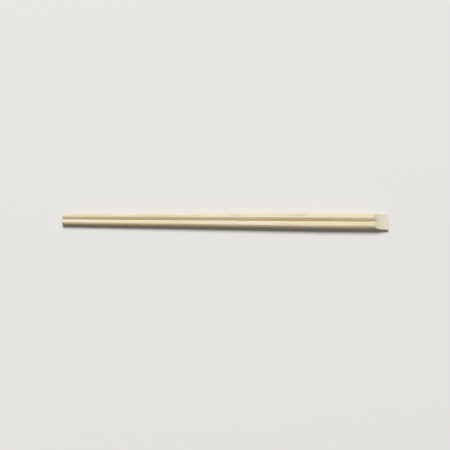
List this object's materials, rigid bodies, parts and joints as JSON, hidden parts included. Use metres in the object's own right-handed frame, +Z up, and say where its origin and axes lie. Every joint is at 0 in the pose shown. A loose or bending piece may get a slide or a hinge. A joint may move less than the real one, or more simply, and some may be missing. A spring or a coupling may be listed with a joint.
{
  "type": "bamboo chopsticks",
  "caption": "Joined pair of round tapered disposable bamboo chopsticks, lying flat, with a slit between them and a scooped flat tab at the head.",
  "frame": {"origin": "middle of the underside of the pair's bounding box", "axes": "+X along the pair from the tips to the joined head, +Z up out of the face the pair lies on, and the slit between the sticks lies in the XZ plane"},
  "size_m": [0.21, 0.0106, 0.0049],
  "materials": {
    "bamboo": "planed and tumbled smooth, unvarnished, satin"
  },
  "bodies": {
    "root": {"chopstick_pair": "bamboo"}
  },
  "joints": []
}
